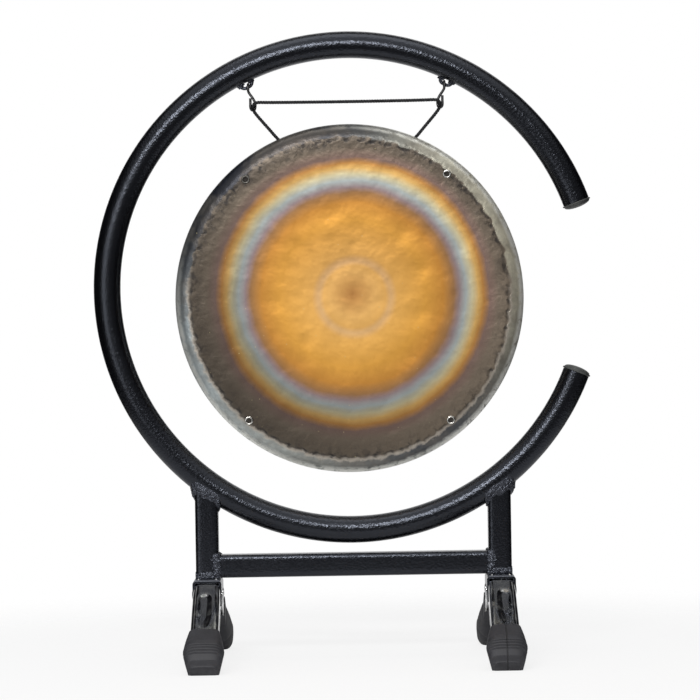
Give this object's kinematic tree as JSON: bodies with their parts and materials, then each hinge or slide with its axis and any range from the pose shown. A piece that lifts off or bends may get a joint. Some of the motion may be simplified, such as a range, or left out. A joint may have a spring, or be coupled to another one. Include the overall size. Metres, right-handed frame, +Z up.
{
  "type": "gong stand",
  "caption": "Open C-shaped ring stand of bent tube on folding chromed legs with rubber feet, holding a rimmed gong on a cord between wire S-hooks.",
  "frame": {"origin": "on the surface the stand is on, under the middle of the overall outline, midway between the front and the rear feet", "axes": "+X to the right, towards the ring's open mouth as seen from the gong's face, +Y to the back, +Z up"},
  "size_m": [0.4706, 0.2532, 0.593],
  "materials": {
    "hammered_coat": "black hammertone powder coat, fine pebbled texture, half gloss",
    "plug_plastic": "dark grey moulded plastic",
    "leg_chrome": "bright chrome on pressed sheet steel",
    "foot_rubber": "charcoal moulded rubber with raised bands",
    "hook_steel": "black coated wire, glossy",
    "gong_bronze": "heat-coloured beaten bronze: golden middle, coloured ring, brown-grey band and pale shoulder",
    "rivet_nickel": "bright nickel plate",
    "rivet_core": "dark filling of a hollow rivet",
    "cord_black": "black braided cord"
  },
  "bodies": {
    "frame": {"ring_tube": "hammered_coat", "upper_end_plug": "plug_plastic", "lower_end_plug": "plug_plastic", "left_upright": "hammered_coat", "right_upright": "hammered_coat", "cross_bar": "hammered_coat", "left_foot_bracket": "hammered_coat", "right_foot_bracket": "hammered_coat", "left_ring_weld": "hammered_coat", "right_ring_weld": "hammered_coat", "left_bar_weld": "hammered_coat", "right_bar_weld": "hammered_coat", "left_bracket_weld": "hammered_coat", "right_bracket_weld": "hammered_coat", "left_hanger_eye": "hammered_coat", "right_hanger_eye": "hammered_coat", "front_left_pivot_rivet": "leg_chrome", "front_right_pivot_rivet": "leg_chrome", "rear_left_pivot_rivet": "leg_chrome", "rear_right_pivot_rivet": "leg_chrome"},
    "left_hook": {"left_s_hook": "hook_steel"},
    "right_hook": {"right_s_hook": "hook_steel"},
    "gong": {"gong_disc": "gong_bronze", "upper_right_gong_rivet": "rivet_nickel", "lower_right_gong_rivet": "rivet_nickel", "lower_left_gong_rivet": "rivet_nickel", "upper_left_gong_rivet": "rivet_nickel", "upper_right_gong_rivet_core": "rivet_core", "lower_right_gong_rivet_core": "rivet_core", "lower_left_gong_rivet_core": "rivet_core", "upper_left_gong_rivet_core": "rivet_core", "gong_cord": "cord_black", "left_cord_knot": "cord_black", "right_cord_knot": "cord_black"},
    "front_left_foot": {"front_left_leg": "leg_chrome", "front_left_rubber_foot": "foot_rubber"},
    "front_right_foot": {"front_right_leg": "leg_chrome", "front_right_rubber_foot": "foot_rubber"},
    "rear_left_foot": {"rear_left_leg": "leg_chrome", "rear_left_rubber_foot": "foot_rubber"},
    "rear_right_foot": {"rear_right_leg": "leg_chrome", "rear_right_rubber_foot": "foot_rubber"}
  },
  "joints": [
    {"name": "left_hook_swing", "type": "hinge", "parent": "frame", "child": "left_hook", "pos_m": [-0.0862, 0, 0.5415], "axis": [1, 0, 0], "range_deg": [-30, 30]},
    {"name": "right_hook_swing", "type": "hinge", "parent": "frame", "child": "right_hook", "pos_m": [0.099, 0, 0.5415], "axis": [1, 0, 0], "range_deg": [-30, 30]},
    {"name": "gong_swing", "type": "hinge", "parent": "left_hook", "child": "gong", "pos_m": [-0.082, 0, 0.52], "axis": [1, 0, 0], "range_deg": [-12, 12]},
    {"name": "front_left_leg_fold", "type": "hinge", "parent": "frame", "child": "front_left_foot", "pos_m": [-0.1319, -0.013, 0.0638], "axis": [1, 0, 0], "range_deg": [0, 58]},
    {"name": "front_right_leg_fold", "type": "hinge", "parent": "frame", "child": "front_right_foot", "pos_m": [0.1447, -0.013, 0.0638], "axis": [1, 0, 0], "range_deg": [0, 58]},
    {"name": "rear_left_leg_fold", "type": "hinge", "parent": "frame", "child": "rear_left_foot", "pos_m": [-0.1319, 0.013, 0.0638], "axis": [-1, 0, 0], "range_deg": [0, 58]},
    {"name": "rear_right_leg_fold", "type": "hinge", "parent": "frame", "child": "rear_right_foot", "pos_m": [0.1447, 0.013, 0.0638], "axis": [-1, 0, 0], "range_deg": [0, 58]}
  ],
  "couplings": [
    {"joint": "right_hook_swing", "follows": "left_hook_swing", "ratio": 1}
  ]
}
